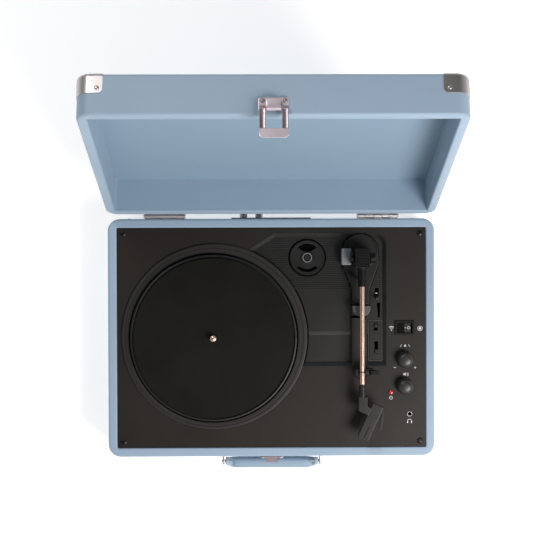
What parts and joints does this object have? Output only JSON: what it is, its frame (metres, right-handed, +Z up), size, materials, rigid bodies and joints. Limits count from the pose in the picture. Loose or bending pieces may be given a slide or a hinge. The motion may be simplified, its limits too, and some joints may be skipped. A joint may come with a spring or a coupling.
{
  "type": "turntable record player",
  "caption": "Portable suitcase record player: blue covered case with a hinged lid, black deck, belt-driven platter, pivoted tonearm with cue lever, and side controls.",
  "frame": {"origin": "middle of the footprint of the player with its lid open, on the surface it stands on", "axes": "+Z up, +X to the player's right, +Y to the back where the lid hinges"},
  "size_m": [0.354, 0.3958, 0.3265],
  "materials": {
    "blue_covering": "fine pebble-grain coated cloth over board",
    "silver_metal": "brushed nickel plate",
    "black_deck": "textured matte black",
    "black_plastic": "satin black",
    "knob_plastic": "satin black with a soft highlight",
    "grey_plastic": "dark grey",
    "mat_rubber": "matte with concentric rings",
    "belt_rubber": "matte",
    "foot_rubber": "matte",
    "rose_gold": "polished copper-coloured tube",
    "bronze": "turned",
    "dark_screw": "blackened",
    "motor_steel": "drawn can",
    "board": "fibreboard",
    "circuit_board": "solder mask",
    "red_lens": "translucent red"
  },
  "bodies": {
    "base": {"base_shell": "blue_covering", "bottom_panel": "board", "bottom_screws": "silver_metal", "rubber_feet": "foot_rubber", "base_corner_caps": "silver_metal", "base_rivets": "silver_metal", "latch_keeper": "silver_metal", "handle_pins": "silver_metal", "left_handle_bracket": "silver_metal", "right_handle_bracket": "silver_metal", "left_speaker_grille": "black_plastic", "right_speaker_grille": "black_plastic", "left_speaker": "grey_plastic", "right_speaker": "grey_plastic", "left_hinge_base_leaf": "silver_metal", "right_hinge_base_leaf": "silver_metal", "left_hinge_pin": "silver_metal", "right_hinge_pin": "silver_metal", "deck_panel": "black_deck", "deck_screws": "dark_screw", "chassis_plate": "black_plastic", "bearing_bush": "bronze", "motor": "motor_steel", "drive_belt": "belt_rubber", "arm_base": "black_plastic", "arm_rest": "black_plastic", "rocker_bezel": "black_plastic", "power_led": "red_lens", "headphone_jack": "silver_metal", "main_board": "circuit_board", "rear_jack_plate": "black_plastic", "rear_jacks": "silver_metal"},
    "lid": {"lid_shell": "blue_covering", "lid_corner_caps": "silver_metal", "lid_rivets": "silver_metal", "latch_plate": "silver_metal", "latch_pin": "silver_metal", "left_hinge_lid_leaf": "silver_metal", "right_hinge_lid_leaf": "silver_metal"},
    "loop": {"latch_loop": "silver_metal"},
    "handle": {"handle_grip": "blue_covering"},
    "turntable": {"platter": "black_plastic", "platter_mat": "mat_rubber", "spindle": "rose_gold"},
    "pulley": {"motor_pulley": "bronze"},
    "yoke": {"arm_yoke": "black_plastic"},
    "tonearm": {"arm_body": "black_plastic", "arm_tube": "rose_gold", "headshell": "black_plastic", "cartridge": "black_plastic"},
    "clip": {"rest_clip": "black_plastic"},
    "cue_handle": {"cue_lever": "black_plastic"},
    "cue_pad": {"cue_lift": "grey_plastic"},
    "adapter": {"adapter_45": "black_plastic"},
    "rocker": {"rocker_cap": "black_plastic"},
    "pitch": {"pitch_knob": "knob_plastic"},
    "volume": {"volume_knob": "knob_plastic"},
    "auto_stop": {"auto_stop_slider": "black_plastic"},
    "speed": {"speed_slider": "black_plastic"}
  },
  "joints": [
    {"name": "lid_hinge", "type": "hinge", "parent": "base", "child": "lid", "pos_m": [0, 0.07814, 0.064], "axis": [-1, 0, 0], "range_deg": [-108, 0]},
    {"name": "latch_swing", "type": "hinge", "parent": "lid", "child": "loop", "pos_m": [0, 0.16423, 0.31151], "axis": [-1, 0, 0], "range_deg": [0, 110]},
    {"name": "handle_swing", "type": "hinge", "parent": "base", "child": "handle", "pos_m": [0, -0.18786, 0.042], "axis": [-1, 0, 0], "range_deg": [0, 100]},
    {"name": "platter_spin", "type": "hinge", "parent": "base", "child": "turntable", "pos_m": [-0.062, -0.05236, 0.066], "axis": [0, 0, -1], "continuous": true},
    {"name": "pulley_spin", "type": "hinge", "parent": "base", "child": "pulley", "pos_m": [-0.11503, 0.00067, 0.061], "axis": [0, 0, -1], "continuous": true},
    {"name": "arm_swing", "type": "hinge", "parent": "base", "child": "yoke", "pos_m": [0.0955, 0.03264, 0.07], "axis": [0, 0, -1], "range_deg": [0, 46]},
    {"name": "arm_lift", "type": "hinge", "parent": "yoke", "child": "tonearm", "pos_m": [0.0955, 0.03264, 0.084], "axis": [-1, 0, 0], "range_deg": [0, 20]},
    {"name": "rest_clip_turn", "type": "hinge", "parent": "base", "child": "clip", "pos_m": [0.1052, -0.08816, 0.0785], "axis": [0, -1, 0], "range_deg": [0, 42]},
    {"name": "cue_lever_turn", "type": "hinge", "parent": "base", "child": "cue_handle", "pos_m": [0.1133, -0.00566, 0.0545], "axis": [-1, 0, 0], "range_deg": [0, 50]},
    {"name": "cue_lift_slide", "type": "slide", "parent": "base", "child": "cue_pad", "axis": [0, 0, 1], "range_m": [0, 0.005]},
    {"name": "rocker_tilt", "type": "hinge", "parent": "base", "child": "rocker", "pos_m": [0.1428, -0.04236, 0.0595], "axis": [0, 1, 0], "range_deg": [0, 16]},
    {"name": "pitch_turn", "type": "hinge", "parent": "base", "child": "pitch", "pos_m": [0.143, -0.07656, 0.0625], "axis": [0, 0, 1], "range_deg": [-135, 135]},
    {"name": "volume_turn", "type": "hinge", "parent": "base", "child": "volume", "pos_m": [0.143, -0.10496, 0.0625], "axis": [0, 0, 1], "range_deg": [-135, 135]},
    {"name": "auto_stop_slide", "type": "slide", "parent": "base", "child": "auto_stop", "axis": [0, -1, 0], "range_m": [0, 0.0032]},
    {"name": "speed_slide", "type": "slide", "parent": "base", "child": "speed", "axis": [0, 1, 0], "range_m": [0, 0.008]},
    {"name": "adapter_lift", "type": "slide", "parent": "base", "child": "adapter", "axis": [0, 0, 1], "range_m": [0, 0.02]}
  ],
  "couplings": [
    {"joint": "pulley_spin", "follows": "platter_spin", "ratio": 11.273},
    {"joint": "cue_lever_turn", "follows": "cue_lift_slide", "rad_per_m": 174.5}
  ]
}
